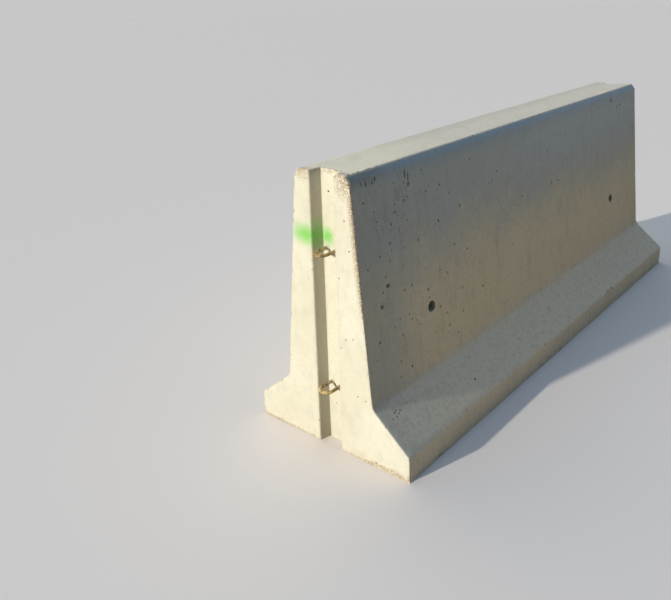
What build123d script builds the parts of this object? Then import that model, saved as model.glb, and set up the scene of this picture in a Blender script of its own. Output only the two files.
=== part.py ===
"""Precast concrete safety barrier with steel coupling loops in a groove at each end.

Millimetres, Z up. The barrier runs along X and stands on its underside at Z = 0,
and the origin is the middle of that underside. The left end is at -X.
"""
from build123d import *
import os

os.makedirs("parts", exist_ok=True)

# Casting, with a short upright foot, a slope and a tall leaning face on each side,
# and a steep facet along each top edge
barrier_length = 2000.0
barrier_height = 810.0
base_width = 550.0
foot_height = 75.0
waist_height = 175.0
waist_width = 310.0
top_width = 185.0
top_facet_inset = 13.0
top_facet_drop = 19.0
top_facet_upper_radius = 4.0
top_facet_lower_radius = 16.0
waist_radius = 35.0
foot_edge_radius = 8.0
end_arris_chamfer = 4.0

# Full-height groove in each end face, splayed so that the mould strips
groove_mouth_width = 82.0
groove_floor_width = 63.0
groove_depth = 37.0
groove_corner_radius = 4.0

# Round holes straight through, for the bars that carry the barrier
carrying_hole_diameter = 33.0
carrying_hole_height = 360.0
carrying_hole_from_end = 310.0

# Coupling loops, bent from round bar and cast in
bar_diameter = 10.0
leg_spacing = 38.0
loop_reach = 31.0
leg_embedment = 120.0
cast_in_clearance = 0.25
lower_loop_height = 186.0
upper_loop_rise = 405.0
right_end_stagger = 36.0

# Worked out from the sizes above
half_length = barrier_length / 2
groove_floor_x = half_length - groove_depth
hole_x = half_length - carrying_hole_from_end
side_lean = (waist_width - top_width) / 2 / (barrier_height - waist_height)
facet_foot_y = top_width / 2 + side_lean * top_facet_drop
facet_foot_z = barrier_height - top_facet_drop
socket_bottom_x = groove_floor_x - leg_embedment
bend_radius = leg_spacing / 2
bend_centre_x = half_length + loop_reach - bar_diameter / 2 - bend_radius

# The right end's loops sit higher by the stagger, so two barriers interleave
loop_heights = {
    "left": {"lower": lower_loop_height, "upper": lower_loop_height + upper_loop_rise},
    "right": {
        "lower": lower_loop_height + right_end_stagger,
        "upper": lower_loop_height + upper_loop_rise + right_end_stagger,
    },
}
end_side = {"left": -1, "right": 1}


# Concrete casting
with BuildPart() as barrier_body:
    with BuildSketch(Plane.YZ) as profile:
        with BuildLine():
            half_outline = Polyline(
                (0, 0),
                (base_width / 2, 0),
                (base_width / 2, foot_height),
                (waist_width / 2, waist_height),
                (facet_foot_y, facet_foot_z),
                (top_width / 2 - top_facet_inset, barrier_height),
                (0, barrier_height),
            )
            mirror(half_outline, about=Plane.YZ)
        make_face()
        rounded = (
            (barrier_height, top_facet_upper_radius),
            (facet_foot_z, top_facet_lower_radius),
            (waist_height, waist_radius),
            (foot_height, foot_edge_radius),
        )
        for corner_height, radius in rounded:
            corners = profile.vertices().filter_by(lambda v: abs(v.Y - corner_height) < 0.5)
            fillet(corners, radius=radius)
    extrude(amount=half_length, both=True)
    end_faces = barrier_body.faces().filter_by(GeomType.PLANE).filter_by(Axis.X)
    chamfer(end_faces.edges(), length=end_arris_chamfer)

    # A groove in each end, open at the top and underneath
    for side in end_side.values():
        with BuildSketch(Plane.XY) as groove:
            with BuildLine():
                Polyline(
                    (side * groove_floor_x, -groove_floor_width / 2),
                    (side * half_length, -groove_mouth_width / 2),
                    (side * half_length, groove_mouth_width / 2),
                    (side * groove_floor_x, groove_floor_width / 2),
                    close=True,
                )
            make_face()
            floor_corners = groove.vertices().sort_by(Axis.X)
            floor_corners = floor_corners[:2] if side > 0 else floor_corners[2:]
            fillet(floor_corners, radius=groove_corner_radius)
        extrude(amount=barrier_height, mode=Mode.SUBTRACT)

    # Carrying holes from side to side
    with BuildSketch(Plane.XZ):
        with Locations((-hole_x, carrying_hole_height), (hole_x, carrying_hole_height)):
            Circle(carrying_hole_diameter / 2)
    extrude(amount=base_width / 2, both=True, mode=Mode.SUBTRACT)

    # Blind sockets that the bar legs are cast into
    for end, side in end_side.items():
        with BuildSketch(Plane.YZ.offset(side * groove_floor_x)):
            for height in loop_heights[end].values():
                with Locations((-leg_spacing / 2, height), (leg_spacing / 2, height)):
                    Circle(bar_diameter / 2 + cast_in_clearance)
        extrude(amount=-side * leg_embedment, mode=Mode.SUBTRACT)

barrier_body.part.label = "barrier_body"
export_step(barrier_body.part, "parts/barrier_body.step")


# Coupling loops: two legs joined by a half-round bend that stands proud of the end face
for end, side in end_side.items():
    for level, height in loop_heights[end].items():
        with BuildPart() as loop:
            with BuildLine(Plane.XY.offset(height)) as centre_line:
                leg = Line(
                    (side * socket_bottom_x, -bend_radius),
                    (side * bend_centre_x, -bend_radius),
                )
                bend = TangentArc(leg @ 1, (side * bend_centre_x, bend_radius), tangent=leg % 1)
                Line(bend @ 1, (side * socket_bottom_x, bend_radius))
            with BuildSketch(Plane(origin=leg @ 0, z_dir=leg % 0)):
                Circle(bar_diameter / 2)
            sweep(path=centre_line.wires()[0])
        node = f"{end}_{level}_loop"
        loop.part.label = node
        export_step(loop.part, f"parts/{node}.step")
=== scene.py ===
import math
import random

import bmesh
import bpy
from bmesh.types import BMEdge, BMFace, BMVert
from mathutils import Matrix, Vector, noise
from mathutils.kdtree import KDTree


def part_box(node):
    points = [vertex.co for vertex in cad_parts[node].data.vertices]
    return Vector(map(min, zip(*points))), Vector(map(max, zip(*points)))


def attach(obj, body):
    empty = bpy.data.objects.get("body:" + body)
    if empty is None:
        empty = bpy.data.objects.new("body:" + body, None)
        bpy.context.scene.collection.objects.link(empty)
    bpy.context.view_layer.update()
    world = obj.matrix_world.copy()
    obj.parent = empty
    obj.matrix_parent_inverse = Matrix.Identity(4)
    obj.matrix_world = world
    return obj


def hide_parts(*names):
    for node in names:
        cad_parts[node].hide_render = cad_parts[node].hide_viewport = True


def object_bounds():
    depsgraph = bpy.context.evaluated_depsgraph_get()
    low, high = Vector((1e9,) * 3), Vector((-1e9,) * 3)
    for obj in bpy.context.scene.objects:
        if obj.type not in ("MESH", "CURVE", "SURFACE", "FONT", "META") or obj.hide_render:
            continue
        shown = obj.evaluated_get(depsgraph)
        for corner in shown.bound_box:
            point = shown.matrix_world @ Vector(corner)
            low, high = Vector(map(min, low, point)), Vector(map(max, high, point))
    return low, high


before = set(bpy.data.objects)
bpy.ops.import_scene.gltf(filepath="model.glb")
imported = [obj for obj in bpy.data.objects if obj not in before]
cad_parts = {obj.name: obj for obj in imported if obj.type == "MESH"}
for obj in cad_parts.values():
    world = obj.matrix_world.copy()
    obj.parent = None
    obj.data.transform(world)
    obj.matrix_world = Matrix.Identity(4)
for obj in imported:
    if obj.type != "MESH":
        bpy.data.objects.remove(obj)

CAD_BOX = [list(corner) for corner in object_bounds()]

# Casting, in metres: its overall size from the frame, its profile as in the part's source
HALF_LENGTH, HALF_BASE, HEIGHT = (round(reach, 6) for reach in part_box("barrier_body")[1])
FOOT_HEIGHT = 0.075
WAIST_HEIGHT = 0.175
HALF_WAIST = 0.155
HALF_TOP = 0.0925
FACET_DROP = 0.019
FACET_INSET = 0.013
SIDE_LEAN = (HALF_WAIST - HALF_TOP) / (HEIGHT - WAIST_HEIGHT)
FACET_HEIGHT = HEIGHT - FACET_DROP
FACET_FOOT = HALF_TOP + SIDE_LEAN * FACET_DROP
HALF_CROWN = HALF_TOP - FACET_INSET
PROFILE = (
    (0.0, HALF_BASE),
    (FOOT_HEIGHT, HALF_BASE),
    (WAIST_HEIGHT, HALF_WAIST),
    (FACET_HEIGHT, FACET_FOOT),
    (HEIGHT, HALF_CROWN),
)
GROOVE_HALF_MOUTH = 0.041
GROOVE_HALF_FLOOR = 0.0315
GROOVE_DEPTH = 0.037
GROOVE_FLOOR_X = HALF_LENGTH - GROOVE_DEPTH
HOLE_RADIUS = 0.0165
HOLE_HEIGHT = 0.36
HOLE_FROM_END = 0.310
HOLE_X = HALF_LENGTH - HOLE_FROM_END

# Loops, bent from round bar, with collars of mortar round their legs
LOOPS = ("left_lower_loop", "left_upper_loop", "right_lower_loop", "right_upper_loop")
BAR_RADIUS = 0.005
LEG_Y = 0.019
LEG_EMBEDMENT = 0.12
LOOP_REACH = 0.031
LEG_START_X = GROOVE_FLOOR_X - LEG_EMBEDMENT
BEND_X = HALF_LENGTH + LOOP_REACH - BAR_RADIUS - LEG_Y
FLAKE_DEPTH = 0.00035
COLLAR_FOOT_RADIUS = 0.0098
COLLAR_TIP_RADIUS = 0.0056
COLLAR_DEPTH = 0.0050

# Rounded long edges: height, half width, reach of the rounding and its segments
EDGE_ROUNDINGS = (
    (HEIGHT, HALF_CROWN, 0.0021, 2),
    (FACET_HEIGHT, FACET_FOOT, 0.0041, 3),
    (WAIST_HEIGHT, HALF_WAIST, 0.0144, 4),
    (FOOT_HEIGHT, HALF_BASE, 0.00375, 2),
)
ARRIS_ROUNDING = 0.0032
GROOVE_ROUNDING = 0.0035
RIM_ROUNDING = 0.0016

# Mesh of the casting: coarse along its sides, and fine at its ends and chips
LIFT = 0.025
TOP_STRIP = 0.020
FINE_STEP = 0.0045
END_BAND = 0.0198
END_INSETS = (0.0072, 0.0112, 0.0154, END_BAND, 0.0256, 0.0330, 0.0420)
LAND_INSETS = (0.0040, 0.0042)
FIRST_STEP = 0.009
STEP_GROWTH = 1.22
WIDEST_STEP = 0.027
HOLE_PATCH = 0.026
HOLE_SIDES = 32
CLOSE = 1e-5
SHARP_ANGLE = 38.0

# Wear: how deep the faces wave, the top is worn and the ends' edges are ragged
WAVINESS = 0.0004
TOP_WEAR = 0.0006
RAGGED_BAND = 0.011
RAGGED_EDGE = 0.0006
RAGGED_NEAR_ARRIS = 0.0022
RAGGED_FOOT = 0.0030

# A bug hole is sunk in two steps: shares of its width inwards and of its depth
SINKING = ((0.06, 0.65), (0.18, 0.35))

# Bug holes of the near long side: from the left end, up, and across
SIDE_HOLES = (
    (0.084, 0.438, 0.0112), (0.095, 0.475, 0.0044), (0.111, 0.514, 0.0044), (0.118, 0.487, 0.0120),
    (0.130, 0.363, 0.0040), (0.133, 0.553, 0.0034), (0.142, 0.599, 0.0056), (0.144, 0.256, 0.0040),
    (0.145, 0.578, 0.0038), (0.151, 0.632, 0.0032), (0.154, 0.649, 0.0064), (0.156, 0.378, 0.0034),
    (0.162, 0.328, 0.0044), (0.176, 0.677, 0.0060), (0.178, 0.697, 0.0050), (0.187, 0.665, 0.0037),
    (0.181, 0.755, 0.0036), (0.188, 0.451, 0.0056), (0.199, 0.376, 0.0044), (0.211, 0.357, 0.0050),
    (0.219, 0.700, 0.0054), (0.223, 0.456, 0.0064), (0.228, 0.641, 0.0034), (0.231, 0.347, 0.0040),
    (0.238, 0.705, 0.0038), (0.270, 0.573, 0.0060), (0.299, 0.416, 0.0086), (0.321, 0.275, 0.0048),
    (0.326, 0.700, 0.0056), (0.357, 0.344, 0.0056), (0.366, 0.454, 0.0052), (0.386, 0.313, 0.0060),
    (0.397, 0.270, 0.0070), (0.397, 0.704, 0.0064), (0.406, 0.110, 0.0070), (0.406, 0.432, 0.0068),
    (0.441, 0.671, 0.0040), (0.452, 0.509, 0.0068), (0.476, 0.287, 0.0054), (0.481, 0.362, 0.0070),
    (0.497, 0.617, 0.0066), (0.523, 0.474, 0.0066), (0.731, 0.675, 0.0050), (0.040, 0.556, 0.0040),
    (0.495, 0.527, 0.0048), (0.301, 0.391, 0.0042), (0.137, 0.212, 0.0044), (0.313, 0.763, 0.0042),
    (1.716, 0.775, 0.0140), (1.815, 0.744, 0.0085), (1.924, 0.768, 0.0075), (1.584, 0.761, 0.0055),
    (0.676, 0.647, 0.0050), (0.699, 0.650, 0.0050), (1.775, 0.739, 0.0065), (1.099, 0.673, 0.0050),
    (0.069, 0.152, 0.0045), (0.071, 0.145, 0.0042), (0.059, 0.151, 0.0036), (0.058, 0.142, 0.0036),
    (0.081, 0.148, 0.0045), (0.040, 0.143, 0.0038),
)

# Upright tears near its top edge: from the left end, up, wide and tall
SIDE_TEARS = (
    (0.233, 0.770, 0.0066, 0.029), (0.247, 0.757, 0.0056, 0.032), (0.247, 0.738, 0.0100, 0.015),
    (0.104, 0.782, 0.0058, 0.014), (0.226, 0.747, 0.0036, 0.012), (0.066, 0.776, 0.0044, 0.015),
    (0.045, 0.781, 0.0040, 0.011), (0.092, 0.775, 0.0034, 0.009),
)

# Bug holes of the left end face: across and up
END_HOLES = (
    (-0.075, 0.692), (-0.089, 0.612), (-0.052, 0.530), (-0.069, 0.357),
    (-0.094, 0.365), (-0.056, 0.191), (-0.106, 0.198),
)

# Open patches of the left end: across, up, half wide, half tall and deep
ROUGH_PATCHES = (
    (-0.086, 0.800, 0.040, 0.045, 0.0030),
    (-0.062, 0.790, 0.024, 0.030, 0.0016),
    (0.060, 0.794, 0.022, 0.020, 0.0014),
    (-0.200, 0.004, 0.090, 0.016, 0.0040),
)

# Chips along the top edge of the left end: across and half wide
CREST_CHIPS = ((-0.047, 0.0095), (-0.056, 0.0075), (-0.065, 0.0085), (0.060, 0.0045), (0.070, 0.0050))

# Crumbled top of the left groove's near wall: along, across and half wide
WALL_TOP_CHIPS = (
    (-0.9650, -0.0220, 0.0075), (-0.9655, -0.0310, 0.0100), (-0.9740, -0.0340, 0.0105),
    (-0.9830, -0.0375, 0.0110), (-0.9920, -0.0400, 0.0110), (-0.9990, -0.0440, 0.0100),
)

random.seed(20)


# Shader maths

class Wire:
    """A socket in a node tree. Sums written on it add Math nodes."""

    def __init__(self, tree, socket):
        self.tree = tree
        self.socket = socket

    def node(self, kind, settings=None, sockets=None, out=0):
        """Adds a node of a type with its settings, then its sockets' values or links."""
        made = self.tree.nodes.new(kind)
        for name, value in (settings or {}).items():
            setattr(made, name, value)
        for name, value in (sockets or {}).items():
            if isinstance(value, Wire):
                self.tree.links.new(value.socket, made.inputs[name])
            else:
                made.inputs[name].default_value = value
        return Wire(self.tree, made.outputs[out])

    def math(self, operation, first, second=0.0):
        """Adds one Math node on two values."""
        return self.node("ShaderNodeMath", {"operation": operation}, {0: first, 1: second})

    def __add__(self, other):
        return self.math("ADD", self, other)

    __radd__ = __add__

    def __mul__(self, other):
        return self.math("MULTIPLY", self, other)

    __rmul__ = __mul__

    def __sub__(self, other):
        return self.math("SUBTRACT", self, other)

    def __rsub__(self, other):
        return self.math("SUBTRACT", other, self)

    def __truediv__(self, other):
        return self.math("DIVIDE", self, other)

    def __rtruediv__(self, other):
        return self.math("DIVIDE", other, self)

    def __pow__(self, other):
        return self.math("POWER", self, other)

    def __rpow__(self, other):
        return self.math("POWER", other, self)

    def above(self, other):
        """The larger of two values."""
        return self.math("MAXIMUM", self, other)

    def size(self):
        """The value without its sign."""
        return self.math("ABSOLUTE", self)

    def fade(self, low, high, start=0.0, end=1.0):
        """A smooth step from start to end as the value goes from low to high."""
        sockets = {0: self, 1: low, 2: high, 3: start, 4: end}
        return self.node("ShaderNodeMapRange", {"interpolation_type": "SMOOTHSTEP"}, sockets)

    def mix(self, first, second):
        """The first colour where this is 0 and the second where it is 1."""
        sockets = {0: self, 6: first, 7: second}
        return self.node("ShaderNodeMix", {"data_type": "RGBA"}, sockets, 2)

    def pick(self, first, second):
        """The first number where this is 0 and the second where it is 1."""
        return self * second + (1 - self) * first

    def noise(self, scale, detail, roughness, stretch=(1, 1, 1), shift=(0, 0, 0)):
        """Cloudy noise over a vector, about 0.5 in the middle."""
        place = self.moved(stretch, shift)
        sockets = {"Vector": place, "Scale": scale, "Detail": detail, "Roughness": roughness}
        return self.node("ShaderNodeTexNoise", {}, sockets)

    def cells(self, scale, shift):
        """Distance to the nearest scattered point, and that point's own random number."""
        sockets = {"Vector": self.moved((1, 1, 1), shift), "Scale": scale}
        distance = self.node("ShaderNodeTexVoronoi", {"feature": "F1"}, sockets)
        colour = Wire(self.tree, distance.socket.node.outputs[1])
        chance = self.node("ShaderNodeSeparateColor", {}, {0: colour})
        return distance, chance

    def moved(self, stretch, shift):
        """A vector's own pattern, moved and stretched."""
        sockets = {"Vector": self, "Location": shift, "Scale": stretch}
        return self.node("ShaderNodeMapping", {}, sockets)

    def axis(self, index):
        """One of a vector's three numbers."""
        return self.node("ShaderNodeSeparateXYZ", {}, {0: self}, index)


def new_material(name):
    """A material, its shader node and a wire with the place on the piece, in metres."""
    made = bpy.data.materials.new(name)
    made.use_nodes = True
    tree = made.node_tree
    shader = tree.nodes["Principled BSDF"]
    place = Wire(tree, None).node("ShaderNodeTexCoord", {}, {}, 3)
    return made, shader, place


def feed(shader, name, wire):
    """Links a wire to one of the shader's sockets."""
    wire.tree.links.new(wire.socket, shader.inputs[name])


def relief(height, distance, strength):
    """A Bump node for a height given in parts of a distance in metres."""
    sockets = {"Strength": strength, "Distance": distance, "Height": height}
    return height.node("ShaderNodeBump", {}, sockets)


# Concrete

CREAM = (0.800, 0.755, 0.605, 1)
PALE = (0.865, 0.830, 0.685, 1)
# Painted light and shade of the near long side: warm bounce light low down, cool shade higher up.
SIDE_PAINTED_BOUNCE = (0.855, 0.738, 0.532, 1)
SIDE_PAINTED_SHADE = (0.575, 0.590, 0.585, 1)
# Painted shade, bluish, along the near side's top edge.
SIDE_TOP_PAINTED_SHADE = (0.470, 0.555, 0.615, 1)
# Painted cool skylight, paler and bluer, on the upper near side away from the left end.
SIDE_FAR_PAINTED_SKYLIGHT = (0.740, 0.790, 0.840, 1)
# Painted light: the near slope lighter and warmer.
SLOPE_PAINTED_LIGHT = (0.980, 0.850, 0.655, 1)
TOP_CREAM = (0.865, 0.775, 0.645, 1)
TOP_WARM = (0.995, 0.875, 0.675, 1)
# Real stains, and also painted shade on the near side's left end and the groove walls.
STAIN_AND_SHADE = (0.400, 0.365, 0.295, 1)
# Real streaks, and also painted shade on the near side's top edge at the left end.
STREAK_AND_SHADE = (0.270, 0.270, 0.250, 1)
# Real damp marks, and also painted shade darker towards the bottom of the end faces.
DAMP_AND_SHADE = (0.460, 0.415, 0.345, 1)
GRIT = (0.460, 0.425, 0.355, 1)
SPECK = (0.930, 0.900, 0.800, 1)
# Painted shade in the pores and bug holes.
HOLE_PAINTED_SHADE = (0.036, 0.033, 0.029, 1)
# Painted shade inside the carrying holes.
BORE_PAINTED_SHADE = (0.340, 0.305, 0.250, 1)
AGGREGATE = (0.500, 0.375, 0.235, 1)
POCKET = (0.270, 0.195, 0.120, 1)
GREEN = (0.235, 0.640, 0.125, 1)


def attribute(place, name):
    """A number that the mesh holds at each of its points."""
    return place.node("ShaderNodeAttribute", {"attribute_name": name}, {}, 2)


def pores(place, scale, radius, keep, shift):
    """Small round holes: 1 in the hole and 0 outside, for some of the cells."""
    distance, chance = place.cells(scale, shift)
    open_part = distance.fade(radius * scale * 0.45, radius * scale, 1.0, 0.0)
    return open_part * chance.math("LESS_THAN", chance, keep)


def blob(across, rise, edge, y, z, wide, tall):
    """A soft-edged cloud round a point of the end face."""
    first = (across - y) / wide
    second = (rise - z) / tall
    away = (first * first + second * second) ** 0.5 + edge
    return away.fade(0.0, 1.10, 0.95, 0.0)


def green_spray(place, x, y, z, on_end):
    """Marking paint sprayed across the groove above the left upper loop."""
    edge = (place.noise(60.0, 3.0, 0.6, shift=(2, 5, 1)) - 0.5) * 0.30
    outer = blob(y, z, edge, 0.058, 0.630, 0.080, 0.043)
    outer = outer.above(blob(y, z, edge, 0.036, 0.630, 0.016, 0.060) * 0.8)
    floor = blob(y, z, edge, 0.016, 0.624, 0.031, 0.036)
    deep = x.fade(-GROOVE_FLOOR_X - 0.003, -GROOVE_FLOOR_X - 0.001)
    return deep.pick(outer, floor) * x.fade(-0.955, -0.950, 1.0, 0.0) * on_end


def face_masks(x, y, z):
    """1 on the end faces and in the grooves, 1 on the flat top and 1 on the groove walls."""
    flat_end = x.size().fade(HALF_LENGTH - 0.0050, HALF_LENGTH - 0.0025)
    groove = x.size().fade(GROOVE_FLOOR_X - 0.0070, GROOVE_FLOOR_X - 0.0030)
    groove *= y.size().fade(GROOVE_HALF_MOUTH, GROOVE_HALF_MOUTH + 0.0030, 1.0, 0.0)
    wall = y.size().fade(GROOVE_HALF_FLOOR - 0.0003, GROOVE_HALF_FLOOR + 0.0005)
    top = z.fade(HEIGHT - 0.0065, HEIGHT - 0.0020)
    return flat_end.above(groove), top, groove * (1 - flat_end) * wall


def ground_colour(place, x, y, z, on_end, on_top, near_side):
    """The broad colour of the concrete, before its marks, with painted light and shade on the near
    long side.
    """
    cloud = place.noise(4.5, 3.0, 0.5).fade(0.36, 0.64)
    patch = place.noise(17.0, 3.0, 0.6, shift=(3, 1, 2))
    # Painted light and shade on the near side: warm bounce light low down and away from the left end,
    # cool shade higher up, with a little random tone.
    painted_bounce = z.fade(0.30, 0.74, 1.0, 0.0) * x.fade(-0.95, -0.66, 0.55, 1.0)
    side = (painted_bounce + (cloud - 0.5) * 0.22).fade(0.0, 1.0).mix(SIDE_PAINTED_SHADE, SIDE_PAINTED_BOUNCE)
    # Painted shade: a bluish band along the top edge.
    side = z.fade(0.745, 0.795).mix(side, SIDE_TOP_PAINTED_SHADE)
    # Painted cool skylight on the upper side away from the left end.
    side = (x.fade(-0.70, 0.30, 0.0, 0.45) * z.fade(0.50, 0.72)).mix(side, SIDE_FAR_PAINTED_SKYLIGHT)
    # Painted shade, darker towards the left end.
    side = x.fade(-0.98, -0.72, 0.22, 0.0).mix(side, STAIN_AND_SHADE)
    # Painted shade along the top edge near the left end.
    side = (z.fade(0.760, 0.795) * x.fade(-0.99, -0.80, 0.55, 0.0)).mix(side, STREAK_AND_SHADE)
    # Painted light: the slope lighter and warmer, less so at the left end.
    painted_slope_light = z.fade(0.165, 0.180, x.fade(-0.99, -0.90, 0.65, 0.90), 0.0)
    side = painted_slope_light.mix(side, SLOPE_PAINTED_LIGHT)
    # Only the near long side takes these painted colours; the ends and the far side take plain
    # concrete.
    colour = on_end.above(1 - near_side).mix(side, cloud.mix(CREAM, PALE))
    top = x.fade(-0.90, -0.35).mix(TOP_WARM, TOP_CREAM)
    dull = y.fade(0.005, 0.070, 0.0, 0.22) * x.fade(-0.80, -0.55) + patch.fade(0.48, 0.66, 0.0, 0.14)
    colour = on_top.mix(colour, dull.mix(top, GRIT))
    return (patch.fade(0.50, 0.74, 0.0, 0.22) * z.fade(0.62, 0.74, 1.0, 0.3)).mix(colour, PALE)


def worn_corners(place, x, y, z, on_end):
    """The open stony patches and the ragged edge of the left end, 1 where it is stony."""
    cloud = place.noise(130.0, 3.0, 0.65, shift=(6, 1, 3))
    edge = (cloud - 0.5) * 1.3
    right = blob(y, z, edge, -0.081, 0.788, 0.046, 0.056)
    left = blob(y, z, edge, 0.072, 0.802, 0.042, 0.028) * 0.8
    gap = (HEIGHT - z) * SIDE_LEAN + HALF_TOP + y
    arris = gap.fade(0.004, 0.019, 1.0, 0.0) * z.fade(0.34, 0.58) * cloud.fade(0.26, 0.46)
    crest = z.fade(0.790, 0.807) * cloud.fade(0.38, 0.54) * 0.7
    foot = z.fade(0.002, 0.016, 0.8, 0.0) * cloud.fade(0.50, 0.60)
    marks = right.above(left).above(arris).above(foot)
    broken = blob(x, y, edge, -0.986, -0.050, 0.026, 0.040)
    broken = broken.above(blob(x, y, edge, -0.992, 0.066, 0.014, 0.032) * 0.8)
    marks = (marks * x.fade(-0.9940, -0.9900, 1.0, 0.0)).above(broken * z.fade(0.796, 0.802))
    return marks.above(crest * on_end * x.fade(-0.958, -0.955, 1.0, 0.0))


def in_bores(x, z, rim):
    """1 in the carrying holes and on their ragged rims, which get painted shade."""
    across = (x.size() - HOLE_X) / 1.14
    rise = z - HOLE_HEIGHT
    away = (across * across + rise * rise) ** 0.5 + (rim - 0.5) * 0.004
    return away.fade(HOLE_RADIUS - 0.0008, HOLE_RADIUS + 0.0006, 1.0, 0.0)


def concrete_material():
    """Pale concrete with its stains, streaks, grit, bug holes, worn stone and paint, and painted
    light and shade on the near side, the groove walls, the foot and the holes.
    """
    made, shader, place = new_material("weathered_concrete")
    x, y, z = (place.axis(index) for index in range(3))
    on_end, on_top, on_wall = face_masks(x, y, z)
    on_side = (1 - on_end) * (1 - on_top)
    near_left = x.fade(-0.95, -0.40, 1.0, 0.25)
    near_side = y.fade(-0.010, 0.010, 1.0, 0.0)
    colour = ground_colour(place, x, y, z, on_end, on_top, near_side)
    # Painted shade on the groove walls, darker towards the bottom.
    colour = (on_wall * z.fade(0.02, 0.20, 0.62, 0.42)).mix(colour, STAIN_AND_SHADE)
    sand = place.noise(520.0, 2.0, 0.7)
    grit = place.noise(210.0, 3.0, 0.65, shift=(1, 4, 2))
    run = place.noise(40.0, 3.0, 0.6, stretch=(1.0, 1.0, 0.20))
    colour = (run.fade(0.50, 0.76, 0.0, 0.26) * on_side).mix(colour, STAIN_AND_SHADE)
    mottle = place.noise(75.0, 4.0, 0.7, shift=(8, 3, 3))
    colour = (mottle.fade(0.46, 0.72, 0.0, 0.34) * (on_side * 0.70 + 0.32)).mix(colour, GRIT)
    comb = place.noise(230.0, 2.0, 0.5, stretch=(1.0, 1.0, 0.11))
    where = place.noise(14.0, 2.0, 0.5, shift=(4, 4, 9)).fade(0.36, 0.60)
    combed = z.fade(0.40, 0.66) * x.fade(-0.84, -0.62, 1.0, 0.22) * on_side * near_side
    colour = (comb.fade(0.52, 0.62, 0.0, 0.50) * combed * where).mix(colour, STREAK_AND_SHADE)
    blotch = place.noise(32.0, 4.0, 0.6, stretch=(1.0, 1.0, 0.6), shift=(5, 2, 8))
    colour = (blotch.fade(0.46, 0.70, 0.0, 0.17) * on_end).mix(colour, DAMP_AND_SHADE)
    dust = place.noise(38.0, 4.0, 0.65, shift=(7, 2, 4))
    # Dirt at the foot of the end faces, and painted shade darker towards the bottom.
    low = z.fade(0.0, 0.050, 0.22, 0.0) * dust.fade(0.40, 0.65) + z.fade(0.03, 0.24, 0.13, 0.0)
    colour = (low * on_end).mix(colour, DAMP_AND_SHADE)
    colour = sand.fade(0.38, 0.66, 0.0, 0.25).mix(colour, GRIT)
    colour = (grit.fade(0.58, 0.68) * (on_top * 0.45 + 0.24)).mix(colour, GRIT)
    bright = place.noise(260.0, 1.0, 0.5, shift=(9, 9, 1)).fade(0.62, 0.67)
    colour = (bright * on_top * near_left * 0.85).mix(colour, SPECK)
    stony = place.noise(340.0, 2.0, 0.6, shift=(5, 5, 5))
    worn = attribute(place, "worn").above(worn_corners(place, x, y, z, on_end))
    colour = (worn * 0.85).mix(colour, stony.fade(0.51, 0.64).mix(AGGREGATE, SPECK))
    colour = (worn * stony.fade(0.38, 0.45, 0.85, 0.0)).mix(colour, POCKET)
    small = pores(place, 72.0, 0.0012, 0.60, (1, 2, 3))
    large = pores(place, 27.0, 0.0024, 0.45, (4, 1, 6))
    dense = pores(place, 105.0, 0.0013, 0.70, (2, 8, 1)) * x.fade(-0.86, -0.60, 1.0, 0.0) * on_side
    holes = small.above(large).above(dense)
    pitted = attribute(place, "pitted").fade(0.15, 0.80)
    # Painted shade in the pores and bug holes.
    colour = (holes * 0.75).above(pitted).mix(colour, HOLE_PAINTED_SHADE)
    # Painted shade inside the carrying holes and on their rims.
    colour = (in_bores(x, z, grit) * (1 - on_top)).mix(colour, BORE_PAINTED_SHADE)
    colour = green_spray(place, x, y, z, on_end).mix(colour, GREEN)
    feed(shader, "Base Color", colour)
    shader.inputs["Roughness"].default_value = 0.88
    shader.inputs["Specular IOR Level"].default_value = 0.22
    height = sand * 0.30 + grit * (on_top * 0.9 + worn * 1.6 + 0.25) - holes * 2.2
    feed(shader, "Normal", relief(height, 0.0007, 0.7))
    return made


# Rusty bar

RUST_DARK = (0.150, 0.085, 0.030, 1)
RUST_LIGHT = (0.660, 0.450, 0.175, 1)
RUST_FLAKE = (0.860, 0.660, 0.380, 1)
# Painted shade for the bars' undersides.
RUST_PAINTED_SHADE = (0.085, 0.060, 0.026, 1)
CEMENT = (0.430, 0.385, 0.290, 1)


def rust_material():
    """Flaky rust with painted shade underneath, and cement smeared on the legs."""
    made, shader, place = new_material("rusty_bar")
    x = place.axis(0)
    flake = place.noise(230.0, 4.0, 0.65)
    cloud = place.noise(70.0, 3.0, 0.6)
    colour = cloud.fade(0.38, 0.56).mix(RUST_DARK, RUST_LIGHT)
    colour = flake.fade(0.48, 0.64, 0.0, 0.90).mix(colour, RUST_FLAKE)
    smear = x.size().fade(GROOVE_FLOOR_X + 0.010, GROOVE_FLOOR_X + 0.036, 1.0, 0.0)
    patchy = place.noise(120.0, 3.0, 0.6, shift=(2, 2, 7)).fade(0.30, 0.56)
    colour = (smear * patchy * 0.85).mix(colour, CEMENT)
    up = place.node("ShaderNodeTexCoord", {}, {}, 1).axis(2)
    # Painted shade under the bars, strongest on the legs.
    legs = x.size().fade(HALF_LENGTH - 0.002, HALF_LENGTH + 0.012, 0.80, 0.25)
    colour = (up.fade(-0.75, 0.20, 1.0, 0.0) * legs).mix(colour, RUST_PAINTED_SHADE)
    feed(shader, "Base Color", colour)
    shader.inputs["Roughness"].default_value = 0.82
    shader.inputs["Specular IOR Level"].default_value = 0.30
    feed(shader, "Normal", relief(flake + cloud * 0.5, 0.0008, 0.9))
    return made


CONCRETE = concrete_material()
RUST = rust_material()


# Casting

def half_width(height):
    """Half the casting's width at a height."""
    for (low, wide), (high, narrow) in zip(PROFILE, PROFILE[1:]):
        if height <= high:
            return wide + (height - low) / (high - low) * (narrow - wide)
    return HALF_CROWN


def only(kind, parts):
    """The parts of one kind, from what an operator gives back."""
    return [part for part in parts if isinstance(part, kind)]


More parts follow.
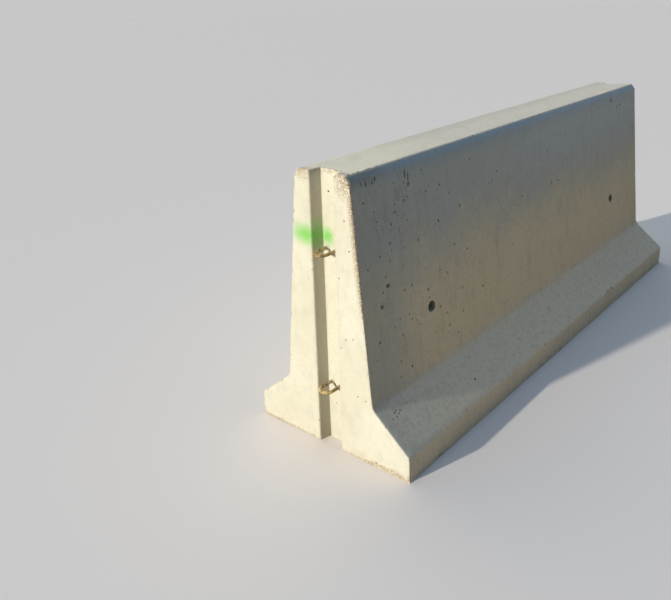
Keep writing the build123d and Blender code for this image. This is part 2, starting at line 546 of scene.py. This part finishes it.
def block():
    """The casting from its plan outline, raised in lifts up its profile."""
    bm = bmesh.new()
    half_end = [(HALF_LENGTH, HALF_BASE), (HALF_LENGTH, GROOVE_HALF_MOUTH)]
    half_end.append((GROOVE_FLOOR_X, GROOVE_HALF_FLOOR))
    end_outline = [(x, -y) for x, y in half_end] + half_end[::-1]
    outline = [(end * x, end * y) for end in (1, -1) for x, y in end_outline]
    face = bm.faces.new([bm.verts.new((x, y, 0)) for x, y in outline])
    for height, reach in PROFILE[1:]:
        raised = bmesh.ops.extrude_face_region(bm, geom=[face])["geom"]
        if height > FOOT_HEIGHT:
            bmesh.ops.delete(bm, geom=[face], context="FACES_ONLY")
        face = only(BMFace, raised)[0]
        for vert in face.verts:
            vert.co.z = height
            if abs(vert.co.y) > GROOVE_HALF_MOUTH + 0.01:
                vert.co.y = math.copysign(reach, vert.co.y)
    bmesh.ops.recalc_face_normals(bm, faces=bm.faces[:])
    bm.verts.index_update()
    bm.edges.sort(key=first_and_last)
    bm.faces.sort(key=first_and_last)
    return bm


def first_and_last(part):
    """A number to sort edges and faces by, because extrude gives them in any order."""
    numbers = [vert.index for vert in part.verts]
    return min(numbers) * 1000 + max(numbers)


def round_edges(bm, test, offset, segments):
    """Rounds the edges that pass a test."""
    bmesh.ops.bevel(
        bm,
        geom=[edge for edge in bm.edges if test(edge)],
        offset=offset,
        offset_type="OFFSET",
        segments=segments,
        profile=0.5,
        affect="EDGES",
        clamp_overlap=True,
        material=-1,
    )


def runs_along(edge, height, reach):
    """True for a long edge at that height and width."""
    return all(
        abs(vert.co.z - height) < 1e-4 and abs(abs(vert.co.y) - reach) < 1e-4
        for vert in edge.verts
    )


def bounds_end(edge):
    """True for an edge round a flat end, the groove's mouth with it."""
    if any(abs(vert.co.x) < HALF_LENGTH - CLOSE for vert in edge.verts):
        return False
    return sum(1 for face in edge.link_faces if abs(face.normal.x) > 0.99) == 1


def in_groove_corner(edge):
    """True for an upright edge between a groove's floor and its wall."""
    return all(
        abs(abs(vert.co.x) - GROOVE_FLOOR_X) < CLOSE
        and abs(abs(vert.co.y) - GROOVE_HALF_FLOOR) < CLOSE
        for vert in edge.verts
    )


def cut(bm, faces, place, across):
    """Cuts faces along a plane, and gives back the faces that they became."""
    parts = dict.fromkeys(faces)
    for face in faces:
        parts.update(dict.fromkeys(face.edges))
        parts.update(dict.fromkeys(face.verts))
    found = bmesh.ops.bisect_plane(
        bm, geom=list(parts), dist=1e-6, plane_co=place, plane_no=across
    )
    return only(BMFace, found["geom"])


def slice_up(bm, faces, axis, places):
    """Cuts faces across an axis at rising places, and leaves finished faces behind."""
    across = Matrix.Identity(3)[axis]
    for place in places:
        parts = cut(bm, faces, across * place, across)
        faces = [face for face in parts if face.calc_center_median()[axis] > place]


def steps(start, stop, step):
    """Evenly spaced places from start to stop."""
    count = int((stop - start) / step)
    return [start + step * index for index in range(count + 1)]


def lengthwise_places():
    """Places along the casting: close together at the ends and wide in the middle."""
    inward = list(END_INSETS)
    step = FIRST_STEP
    while inward[-1] + step < HALF_LENGTH - 0.012:
        step = min(step * STEP_GROWTH, WIDEST_STEP)
        inward.append(inward[-1] + step)
    places = [HALF_LENGTH - inset for inset in inward]
    return sorted(places + [-place for place in places])


def drill(bm, x):
    """A round carrying hole from side to side."""
    rims = []
    for side in (-1, 1):
        faces = [
            face
            for face in bm.faces
            if side * face.normal.y > 0.9 and face.calc_center_median().z > WAIST_HEIGHT
        ]
        for sign in (-1, 1):
            faces = cut(bm, faces, (x + sign * HOLE_PATCH, 0, 0), (1, 0, 0))
            faces = cut(bm, faces, (0, 0, HOLE_HEIGHT + sign * HOLE_PATCH), (0, 0, 1))
        middle = Vector((x, side * half_width(HOLE_HEIGHT), HOLE_HEIGHT))
        square = min(faces, key=lambda face: (face.calc_center_median() - middle).length)
        bmesh.ops.bisect_edges(bm, edges=list(square.edges), cuts=HOLE_SIDES // 4 - 1)
        bmesh.ops.inset_individual(bm, faces=[square], thickness=0.006)
        for vert in square.verts:
            turn = math.atan2(vert.co.z - HOLE_HEIGHT, vert.co.x - x)
            turn = round(turn / math.tau * HOLE_SIDES) * math.tau / HOLE_SIDES
            vert.co.x = x + HOLE_RADIUS * math.cos(turn)
            vert.co.z = HOLE_HEIGHT + HOLE_RADIUS * math.sin(turn)
            vert.co.y = side * half_width(vert.co.z)
        rims.append(list(square.edges))
        bmesh.ops.delete(bm, geom=[square], context="FACES_ONLY")
    bmesh.ops.bridge_loops(bm, edges=rims[0] + rims[1])
    found = dict.fromkeys(rims[0] + rims[1])
    round_edges(bm, lambda edge: edge in found, RIM_ROUNDING, 2)


def near_end(face):
    """True for faces that get the fine mesh: the end zone and the whole groove."""
    middle = face.calc_center_median()
    if abs(face.normal.z) > 0.9:
        return False
    if abs(middle.x) > HALF_LENGTH - END_BAND:
        return True
    return abs(middle.x) > GROOVE_FLOOR_X - 0.001 and abs(middle.y) < GROOVE_HALF_MOUTH


def width(face):
    """How far a face reaches across the casting."""
    places = [vert.co.y for vert in face.verts]
    return max(places) - min(places)


class Nearby:
    """Finds the faces round a point, from boxes of space that hold them."""

    box_width = 0.05
    face_reach = 0.02

    def __init__(self, bm):
        self.bm = bm
        self.boxes = {}
        self.add(bm.faces)

    def add(self, faces):
        """Puts faces in the boxes that their middles lie in."""
        for face in faces:
            middle = face.calc_center_median()
            box = tuple(math.floor(part / self.box_width) for part in middle)
            self.boxes.setdefault(box, {})[face] = None

    def around(self, place, reach):
        """The faces that may come within reach of a point."""
        low = [math.floor((part - reach - self.face_reach) / self.box_width) for part in place]
        high = [math.floor((part + reach + self.face_reach) / self.box_width) for part in place]
        found = {}
        for x in range(low[0], high[0] + 1):
            for y in range(low[1], high[1] + 1):
                for z in range(low[2], high[2] + 1):
                    found.update(self.boxes.get((x, y, z), {}))
        close = []
        for face in found:
            size = math.sqrt(face.calc_area()) * 0.9 + 0.004
            if (face.calc_center_median() - place).length < reach + size:
                close.append(face)
        return close

    def cut(self, faces, place, across):
        """Cuts faces along a plane and keeps what they became."""
        faces = cut(self.bm, faces, place, across)
        self.add(faces)
        return faces


def sink(near, middle, facing, wide, tall, depth):
    """A bug hole: an irregular patch cut from the surface and sunk in two steps."""
    along = Vector((0, 0, 1)).cross(facing).normalized()
    rise = facing.cross(along)
    faces = near.around(middle, max(wide, tall) * 0.6)
    faces = [face for face in faces if face.normal.dot(facing) > 0.97]
    edges = []
    sides = 8
    for step in range(sides):
        turn = math.tau * (step + random.uniform(-0.22, 0.22)) / sides
        way = along * (math.cos(turn) / wide) + rise * (math.sin(turn) / tall)
        way.normalize()
        place = along * (math.cos(turn) * wide) + rise * (math.sin(turn) * tall)
        place = middle + place * random.uniform(0.42, 0.56)
        faces = near.cut(faces, place, way)
        edges.append((place, way))
    patch = [
        face
        for face in faces
        if all((face.calc_center_median() - place).dot(way) < 0 for place, way in edges)
    ]
    if not patch:
        return
    bm = near.bm
    narrow = min(wide, tall)
    for inset, share in SINKING:
        bmesh.ops.inset_region(bm, faces=patch, thickness=narrow * inset, depth=-depth * share)
    pitted = bm.verts.layers.float["pitted"]
    for face in patch:
        for vert in face.verts:
            vert[pitted] = 1.0


def side_place(side, from_left, height):
    """A point on a long side, by its distance from the left end, and the way it faces."""
    place = Vector((from_left - HALF_LENGTH, side * half_width(height), height))
    lean = half_width(height) - half_width(height + 0.001)
    return place, Vector((0, side, lean / 0.001)).normalized()


def sink_measured(near):
    """The bug holes and tears of the near long side and the left end face."""
    for from_left, height, across in SIDE_HOLES:
        place, facing = side_place(-1, from_left, height)
        shape = random.uniform(0.82, 1.10)
        across = across * 1.15 + 0.0010
        sink(near, place, facing, across * shape, across / shape, 0.0020 + 0.50 * across)
    for from_left, height, wide, tall in SIDE_TEARS:
        place, facing = side_place(-1, from_left, height)
        sink(near, place, facing, wide, tall, 0.003)
    for y, height in END_HOLES:
        place = Vector((-HALF_LENGTH, y, height))
        sink(near, place, Vector((-1, 0, 0)), 0.0048, 0.0042, 0.0030)


def pit_chance(face):
    """How likely a face of the coarse mesh is to get one smaller bug hole."""
    middle = face.calc_center_median()
    from_left = middle.x + HALF_LENGTH
    if len(face.verts) != 4 or face.calc_area() < 0.00022:
        return 0
    if abs(face.normal.y) > 0.9 and 0.20 < middle.z < 0.76 and abs(middle.x) < 0.97:
        if face.normal.y < 0 and 0.09 < from_left < 0.20 and middle.z > 0.41:
            return 0.60
        if face.normal.y < 0 and from_left < 0.62:
            return 0.09
        return 0.045
    if abs(face.normal.x) > 0.9 and 0.02 < middle.z < 0.76:
        return 0.10
    return 0


def host_faces(bm):
    """The faces that get a smaller bug hole. A number is drawn for each one that may."""
    chosen = []
    for face in bm.faces:
        chance = pit_chance(face)
        if chance and random.random() < chance:
            chosen.append(face)
    return chosen


def pit_faces(bm, chosen):
    """Sinks a small bug hole in each of the chosen faces, all of them together."""
    edges = dict.fromkeys(edge for face in chosen for edge in face.edges)
    bmesh.ops.bisect_edges(bm, edges=list(edges), cuts=1)
    bmesh.ops.inset_individual(bm, faces=chosen, thickness=0.001)
    for face in chosen:
        facing = face.normal.copy()
        middle = face.calc_center_median()
        along = Vector((0, 0, 1)).cross(facing).normalized()
        rise = facing.cross(along)
        wide = random.choice((0.0013, 0.0016, 0.0016, 0.0020, 0.0020, 0.0026, 0.0036))
        tall = wide * random.uniform(0.7, 1.4)
        if abs(facing.x) > 0.9:
            wide, tall = wide * 0.7, tall * 0.7
        centre = middle
        for way, reach in ((along, wide), (rise, tall)):
            room = max(abs((vert.co - middle).dot(way)) for vert in face.verts)
            room = max(0.0, min(0.010, room - reach * 1.2 - 0.001))
            centre = centre + way * random.uniform(-room, room)
        for vert in face.verts:
            off = vert.co - middle
            turn = math.atan2(off.dot(rise), off.dot(along))
            reach = random.uniform(0.85, 1.15)
            vert.co = centre + along * (math.cos(turn) * wide * reach)
            vert.co += rise * (math.sin(turn) * tall * reach)
    pitted = bm.verts.layers.float["pitted"]
    for _, share in SINKING:
        bmesh.ops.inset_individual(bm, faces=chosen, thickness=0.0002)
        for face in chosen:
            facing = face.normal.copy()
            depth = (0.001 + math.sqrt(face.calc_area()) * 0.5) * share
            for vert in face.verts:
                vert.co -= facing * depth
                vert[pitted] = 1.0


def refine(near, middle, reach):
    """Closer cuts round a chip on a long edge."""
    faces = near.around(middle, reach)
    faces = [face for face in faces if face.normal.z > -0.9]
    for across in Matrix.Identity(3):
        for share in (-1.1, -0.66, -0.22, 0.22, 0.66, 1.1):
            faces = near.cut(faces, middle + across * (reach * share), across)


class Wear:
    """Moves the points of the finished mesh and marks what is worn."""

    def __init__(self, bm):
        self.worn = bm.verts.layers.float["worn"]
        bm.verts.ensure_lookup_table()
        self.verts = list(bm.verts)
        self.tree = KDTree(len(self.verts))
        for index, vert in enumerate(self.verts):
            self.tree.insert(vert.co, index)
        self.tree.balance()

    def bite(self, place, outward, wide, deep):
        """A chip scooped out at a place: half its width and its depth are given."""
        radius = (wide * wide + deep * deep) / (2 * deep)
        middle = place + outward * (radius - deep)
        for spot, index, away in self.tree.find_range(middle, radius * 1.25):
            vert = self.verts[index]
            off = vert.co - middle
            rough = radius * (1 + 0.16 * noise.noise(vert.co * 310))
            if off.length < rough and vert.co.z > 0.0001:
                vert.co = middle + off.normalized() * rough
                vert[self.worn] = 1.0


def arris_distance(place):
    """How far a point of the surface is from the nearest edge of its end face."""
    from_end = HALF_LENGTH - abs(place.x)
    reach = abs(place.y)
    across = min(
        abs(half_width(place.z) - reach),
        abs(reach - GROOVE_HALF_MOUTH),
        abs(HEIGHT - place.z),
        place.z,
    )
    return math.hypot(from_end, across)


def weather(bm):
    """Slight waviness all over, and crumbled edges and rough patches at the ends."""
    worn = bm.verts.layers.float["worn"]
    for vert in bm.verts:
        place = vert.co.copy()
        inward = WAVINESS * (1 + noise.noise(place * 3.1)) * 0.5
        if place.z > HEIGHT - 0.002:
            inward += TOP_WEAR * (1 + noise.noise(place * 17)) * 0.5
        if abs(place.x) > HALF_LENGTH - 0.02:
            gone = crumble(place)
            inward += gone
            vert[worn] = max(vert[worn], min(1.0, gone / 0.0012))
        if place.z > 0.0001:
            vert.co -= vert.normal * inward


def crumble(place):
    """How much of the surface is gone near an end's edges and in the rough patches."""
    near = max(0.0, 1 - arris_distance(place) / RAGGED_BAND)
    coarse = noise.noise(place * 95) * 0.6 + noise.noise(place * 240) * 0.4
    ragged = RAGGED_EDGE
    on_groove = abs(abs(place.y) - GROOVE_HALF_MOUTH) < 0.012
    if place.x < 0 and place.y < 0 and place.z > 0.45 and not on_groove:
        ragged = RAGGED_NEAR_ARRIS
    if place.z < 0.02 and not on_groove:
        ragged = RAGGED_FOOT
    gone = near * near * (0.25 * ragged + ragged * max(0.0, coarse + 0.25))
    if place.x < -HALF_LENGTH + 0.004:
        gone += rough_patch(place, coarse)
    return gone


def rough_patch(place, coarse):
    """The open, stony patches at the top corners of the left end."""
    depth = 0.0
    for y, z, wide, tall, deep in ROUGH_PATCHES:
        off = math.hypot((place.y - y) / wide, (place.z - z) / tall)
        soft = max(0.0, 1 - off)
        if soft > 0:
            pocket = max(0.0, coarse + 0.12) + max(0.0, noise.noise(place * 420)) * 0.5
            depth = max(depth, deep * min(1.0, soft * 2.2) * (0.15 + pocket))
    return depth * min(1.0, 0.25 + (HEIGHT - place.z) / 0.008)


def corner(end, side, height):
    """A point on an end's outer edge, and the way out from it."""
    outward = Vector((end, side, 0)).normalized()
    place = Vector((end * HALF_LENGTH, side * half_width(height), height))
    return place - outward * 0.0014, outward


def chip_left_end(wear):
    """The deeper chips that the left end shows: its near arris, its crest and its groove's top."""
    height = 0.46
    while height < 0.780:
        place, outward = corner(-1, -1, height)
        deep = random.uniform(0.0014, 0.0026) + 0.0016 * min(1.0, max(0.0, height - 0.60) / 0.10)
        wear.bite(place, outward, random.uniform(0.0036, 0.0062), deep)
        height += random.uniform(0.009, 0.015)
    for y, wide in CREST_CHIPS:
        place = Vector((-HALF_LENGTH + 0.001, y, HEIGHT - 0.001))
        wear.bite(place, Vector((-0.75, 0.2, 0.63)).normalized(), wide, wide * 0.45)
    for x, y, wide in WALL_TOP_CHIPS:
        place = Vector((x, y, HEIGHT - 0.001))
        wear.bite(place, Vector((-0.50, 0.35, 0.79)).normalized(), wide, wide * 0.42)


def chip_land(wear, end, side):
    """Small chips round one half of an end face: its arris, foot, crest and groove."""
    height = random.uniform(0.01, 0.06)
    while height < 0.775:
        place, outward = corner(end, side, height)
        wide = random.uniform(0.0022, 0.0055)
        wear.bite(place, outward, wide, wide * random.uniform(0.35, 0.55))
        height += random.uniform(0.018, 0.085)
    edge_x = end * (HALF_LENGTH - 0.001)
    downward = Vector((end, 0, -1)).normalized()
    upward = Vector((end, 0, 1)).normalized()
    for index in range(9):
        y = random.uniform(0.05, HALF_BASE - 0.004)
        wide = random.uniform(0.0035, 0.0085)
        deep = wide * random.uniform(0.4, 0.6)
        wear.bite(Vector((edge_x, side * y, 0.001)), downward, wide, deep)
    for index in range(4):
        y = random.uniform(0.046, HALF_CROWN - 0.010)
        wide = random.uniform(0.0025, 0.0050)
        deep = wide * random.uniform(0.35, 0.5)
        wear.bite(Vector((edge_x, side * y, HEIGHT - 0.001)), upward, wide, deep)
    for index in range(4):
        height = random.uniform(0.02, 0.79)
        place = Vector((end * HALF_LENGTH, side * GROOVE_HALF_MOUTH, height))
        outward = Vector((end, -side, 0)).normalized()
        wide = random.uniform(0.0022, 0.0040)
        wear.bite(place - outward * 0.001, outward, wide, wide * 0.4)


def edge_chips():
    """Chips on the long edges: a place, the way out, half a width and a depth each."""
    chips = []

    def chip(x, y, z, outward, widths, share):
        wide = random.uniform(*widths)
        chips.append((Vector((x, y, z)), outward, wide, wide * share))

    ledge = HALF_BASE - 0.0012
    ledge_height = FOOT_HEIGHT - 0.0005
    crown_height = HEIGHT - 0.0006
    for side in (-1, 1):
        outward = Vector((0, side, -0.5)).normalized()
        for index in range(9):
            x = random.uniform(-0.94, 0.94)
            chip(x, side * HALF_BASE, 0.0, outward, (0.006, 0.014), 0.42)
        outward = Vector((0, side, 0.6)).normalized()
        for index in range(4):
            x = random.uniform(-0.94, 0.94)
            chip(x, side * ledge, ledge_height, outward, (0.004, 0.008), 0.32)
    for index in range(12):
        x = -0.985 + 0.16 * random.random() ** 1.5
        chip(x, -HALF_CROWN, crown_height, Vector((0, -0.5, 0.87)), (0.0030, 0.0062), 0.45)
    for side in (-1, 1):
        outward = Vector((0, side * 0.5, 0.87))
        for index in range(6):
            x = random.uniform(-0.8, 0.95)
            chip(x, side * HALF_CROWN, crown_height, outward, (0.0030, 0.0070), 0.35)
    return chips


def dressed_block():
    """The casting with its rounded edges and carrying holes, cut into a coarse grid."""
    bm = block()
    bm.verts.layers.float.new("pitted")
    bm.verts.layers.float.new("worn")
    for height, reach, offset, segments in EDGE_ROUNDINGS:
        round_edges(bm, lambda edge: runs_along(edge, height, reach), offset, segments)
    round_edges(bm, bounds_end, ARRIS_ROUNDING, 2)
    round_edges(bm, in_groove_corner, GROOVE_ROUNDING, 3)
    for x in (-HOLE_X, HOLE_X):
        drill(bm, x)
    for end in (-1, 1):
        for side in (-1, 1):
            land = [face for face in bm.faces if end * face.normal.x > 0.99]
            land = [face for face in land if side * face.calc_center_median().y > GROOVE_HALF_MOUTH]
            for inset in LAND_INSETS:
                bmesh.ops.inset_region(bm, faces=land, thickness=inset)
    lengthwise = [face for face in bm.faces if abs(face.normal.x) < 0.9]
    slice_up(bm, lengthwise, 0, lengthwise_places())
    upright = [face for face in bm.faces if abs(face.normal.z) < 0.9]
    slice_up(bm, upright, 2, steps(LIFT / 2, 0.80, LIFT))
    top = [face for face in bm.faces if face.normal.z > 0.9]
    slice_up(bm, top, 1, steps(-0.08, 0.08, TOP_STRIP))
    return bm


def slice_ends(bm):
    """Fine cuts over the ends, where the edges crumble."""
    slice_up(bm, [face for face in bm.faces if near_end(face)], 2, steps(0.0065, 0.806, FINE_STEP))
    ends = [face for face in bm.faces if abs(face.normal.x) > 0.9 and width(face) > 0.007]
    slice_up(bm, ends, 1, steps(-0.2725, 0.2725, FINE_STEP))
    top = [face for face in bm.faces if face.normal.z > 0.9]
    top = [face for face in top if abs(face.calc_center_median().x) > 0.97]
    slice_up(bm, top, 1, steps(-0.0722, 0.0722, FINE_STEP))
    bm.normal_update()


def body_piece():
    """The weathered casting, with its bug holes and chips."""
    bm = dressed_block()
    sink_measured(Nearby(bm))
    pit_faces(bm, host_faces(bm))
    near = Nearby(bm)
    chips = edge_chips()
    for place, outward, wide, deep in chips:
        refine(near, place, wide * 1.15)
    slice_ends(bm)
    weather(bm)
    wear = Wear(bm)
    chip_left_end(wear)
    for end in (-1, 1):
        for side in (-1, 1):
            chip_land(wear, end, side)
    for place, outward, wide, deep in chips:
        wear.bite(place, outward, wide, deep)
    return finish_piece(bm, "barrier_body_cast", "barrier_body", CONCRETE)


# Loops

def loop_place(name):
    """The end that a loop stands out of, -1 or 1, and its height, from the frame."""
    low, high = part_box(name)
    return math.copysign(1, low.x), round((low.z + high.z) / 2, 6)


def bar_loop(name):
    """One coupling loop: a leg, a half-round bend and the other leg."""
    end, height = loop_place(name)
    bm = bmesh.new()
    turn = Matrix.Rotation(math.radians(90), 4, "Y")
    place = Matrix.Translation((end * LEG_START_X, -LEG_Y, height))
    ring = bmesh.ops.create_circle(
        bm, cap_ends=True, segments=24, radius=BAR_RADIUS, matrix=place @ turn
    )
    tip = list(dict.fromkeys(edge for vert in ring["verts"] for edge in vert.link_edges))
    tip = draw_leg(bm, tip, end, outward=True)
    bent = bmesh.ops.spin(
        bm,
        geom=tip,
        cent=(end * BEND_X, 0, height),
        axis=(0, 0, 1),
        angle=end * math.pi,
        steps=26,
    )
    tip = only(BMEdge, bent["geom_last"])
    tip = draw_leg(bm, tip, end, outward=False)
    bmesh.ops.holes_fill(bm, edges=tip)
    bmesh.ops.recalc_face_normals(bm, faces=bm.faces[:])
    bm.normal_update()
    for vert in bm.verts:
        flaky = 0.5 + 0.5 * noise.noise(vert.co * 160) + 0.3 * noise.noise(vert.co * 420)
        vert.co -= vert.normal * FLAKE_DEPTH * max(0.0, flaky)
    return finish_piece(bm, name + "_bar", name, RUST)


def draw_leg(bm, edges, end, outward):
    """Draws a ring of edges along a leg, finely where it stands out of the concrete."""
    places = [LEG_START_X] + steps(GROOVE_FLOOR_X - 0.006, BEND_X, FINE_STEP)
    if BEND_X - places[-1] > 0.001:
        places.append(BEND_X)
    if not outward:
        places.reverse()
    for here, there in zip(places, places[1:]):
        made = bmesh.ops.extrude_edge_only(bm, edges=edges)["geom"]
        verts = only(BMVert, made)
        bmesh.ops.translate(bm, verts=verts, vec=(end * (there - here), 0, 0))
        edges = only(BMEdge, made)
        edges = [edge for edge in edges if all(vert in verts for vert in edge.verts)]
    return edges


def drop(edge):
    """How far an edge reaches along the casting."""
    return abs(edge.verts[0].co.x - edge.verts[1].co.x)


def leg_mortar():
    """The small uneven collars of mortar where the legs leave the groove's floor."""
    bm = bmesh.new()
    for end, height in (loop_place(name) for name in LOOPS):
        for side in (-1, 1):
            turn = Matrix.Rotation(math.radians(90 * end), 4, "Y")
            place = Matrix.Translation((end * (GROOVE_FLOOR_X + 0.0012), side * LEG_Y, height))
            made = bmesh.ops.create_cone(
                bm,
                cap_ends=True,
                segments=22,
                radius1=COLLAR_FOOT_RADIUS,
                radius2=COLLAR_TIP_RADIUS,
                depth=COLLAR_DEPTH,
                matrix=place @ turn,
            )
            edges = dict.fromkeys(edge for vert in made["verts"] for edge in vert.link_edges)
            slanted = [edge for edge in edges if drop(edge) > 0.002]
            bmesh.ops.subdivide_edges(bm, edges=slanted, cuts=2)
    for vert in bm.verts:
        bumpy = noise.noise(vert.co * 230)
        vert.co.x += math.copysign(0.0016, vert.co.x) * bumpy
        centre_y = math.copysign(LEG_Y, vert.co.y)
        vert.co.y = centre_y + (vert.co.y - centre_y) * (1 + 0.20 * noise.noise(vert.co * 310))
    return finish_piece(bm, "leg_mortar", None, CONCRETE)


def add_object(name, data):
    """An object in the scene, at the origin."""
    made = bpy.data.objects.new(name, data)
    bpy.context.scene.collection.objects.link(made)
    return made


def finish_piece(bm, name, node, material):
    """Turns a mesh into a piece of the object with its material."""
    low, high = CAD_BOX
    for vert in bm.verts:
        for axis in range(3):
            vert.co[axis] = min(max(vert.co[axis], low[axis]), high[axis])
    mesh = bpy.data.meshes.new(name)
    bm.to_mesh(mesh)
    bm.free()
    for face in mesh.polygons:
        face.use_smooth = True
    mesh.set_sharp_from_angle(angle=math.radians(SHARP_ANGLE))
    mesh.materials.append(material)
    piece = add_object(name, mesh)
    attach(piece, "root")
    if node:
        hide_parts(node)
    return piece


body_piece()
for name in LOOPS:
    bar_loop(name)
leg_mortar()


# Camera

CAMERA_PLACE = (-2.3075, -1.1990, 1.2450)
CAMERA_RIGHT = (0.65288, -0.75675, -0.03294)
CAMERA_UP = (0.24547, 0.17023, 0.95434)
CAMERA_SENSOR = 36.0
CAMERA_LENS = 38.42
CAMERA_SHIFT_Y = -0.1267


def add_camera():
    """The camera at the photograph's angle."""
    data = bpy.data.cameras.new("camera")
    data.sensor_width = CAMERA_SENSOR
    data.lens = CAMERA_LENS
    data.shift_y = CAMERA_SHIFT_Y
    right = Vector(CAMERA_RIGHT).normalized()
    back = right.cross(Vector(CAMERA_UP)).normalized()
    up = back.cross(right)
    turn = Matrix((right, up, back)).transposed().to_4x4()
    camera = add_object("camera", data)
    camera.matrix_world = Matrix.Translation(CAMERA_PLACE) @ turn
    bpy.context.scene.camera = camera


# Lights and floor

KEY_DIRECTION = (0.926, -0.262, -0.276)
KEY_COLOUR = (1.0, 0.965, 0.86)
KEY_STRENGTH = 3.3
KEY_ANGLE = 2.0
BOUNCE_PLACE = (0.05, -0.66, 0.12)
BOUNCE_DIRECTION = (0.0, 1.0, 0.26)
BOUNCE_LENGTH = 1.9
BOUNCE_TALL = 0.15
BOUNCE_SPREAD = 80.0
BOUNCE_COLOUR = (1.0, 0.62, 0.34)
BOUNCE_STRENGTH = 0.115
SKY_COLOUR = (0.33, 0.53, 0.78, 1)
GLOW_DIRECTION = (0.25, 0.72, 0.65)
GLOW_COLOUR = (1.0, 0.95, 0.82, 1)
BACKGROUND = (0.571, 0.571, 0.575, 1)
FLOOR_SEEN = (0.93, 0.84, 0.79, 1)
FLOOR_UNSEEN = (0.70, 0.60, 0.47, 1)
FLOOR_HALF_SIZE = 40.0


def aim(lamp, direction):
    """Turns a lamp to shine in a direction."""
    lamp.rotation_mode = "QUATERNION"
    lamp.rotation_quaternion = Vector(direction).to_track_quat("-Z", "Y")


def add_key_light():
    """The main light, low and from beside the left end."""
    data = bpy.data.lights.new("key_light", "SUN")
    data.energy = KEY_STRENGTH
    data.color = KEY_COLOUR
    data.angle = math.radians(KEY_ANGLE)
    aim(add_object("key_light", data), KEY_DIRECTION)


def add_bounce():
    """A weak warm light, low along the near side."""
    data = bpy.data.lights.new("bounce", "AREA")
    data.shape = "RECTANGLE"
    data.size = BOUNCE_LENGTH
    data.size_y = BOUNCE_TALL
    data.energy = BOUNCE_STRENGTH
    data.color = BOUNCE_COLOUR
    data.spread = math.radians(BOUNCE_SPREAD)
    lamp = add_object("bounce", data)
    lamp.location = BOUNCE_PLACE
    aim(lamp, BOUNCE_DIRECTION)
    lamp.visible_camera = False


def add_world():
    """Soft light from above, and a plain background for the camera."""
    world = bpy.data.worlds.new("studio")
    bpy.context.scene.world = world
    world.use_nodes = True
    tree = world.node_tree
    tree.nodes.clear()
    start = Wire(tree, None)
    way = start.node("ShaderNodeTexCoord", {}, {}, 0)
    rise = way.axis(2).above(0.0)
    toward = Vector(GLOW_DIRECTION).normalized()
    facing = way.axis(0) * toward.x + way.axis(1) * toward.y + way.axis(2) * toward.z
    sky = start.node("ShaderNodeBackground", {}, {0: SKY_COLOUR, 1: rise ** 3.0 + 0.02})
    glow = start.node("ShaderNodeBackground", {}, {0: GLOW_COLOUR, 1: facing.above(0.0) ** 5.0})
    light = start.node("ShaderNodeAddShader", {}, {0: sky, 1: glow})
    rays = start.node("ShaderNodeLightPath")
    seen = start.node("ShaderNodeBackground", {}, {0: BACKGROUND, 1: 1.0})
    out = start.node("ShaderNodeMixShader", {}, {0: rays, 1: light, 2: seen})
    end = tree.nodes.new("ShaderNodeOutputWorld")
    tree.links.new(out.socket, end.inputs[0])


def add_floor():
    """A plain pale floor. The camera sees it paler than it lights the casting."""
    bm = bmesh.new()
    bmesh.ops.create_grid(bm, x_segments=1, y_segments=1, size=FLOOR_HALF_SIZE)
    mesh = bpy.data.meshes.new("floor")
    bm.to_mesh(mesh)
    bm.free()
    floor = add_object("floor", mesh)
    made, shader, place = new_material("plain_floor")
    rays = place.node("ShaderNodeLightPath")
    feed(shader, "Base Color", rays.mix(FLOOR_UNSEEN, FLOOR_SEEN))
    shader.inputs["Roughness"].default_value = 0.95
    shader.inputs["Specular IOR Level"].default_value = 0.1
    mesh.materials.append(made)


add_camera()
add_key_light()
add_bounce()
add_world()
add_floor()
bpy.context.scene.view_settings.view_transform = "Standard"
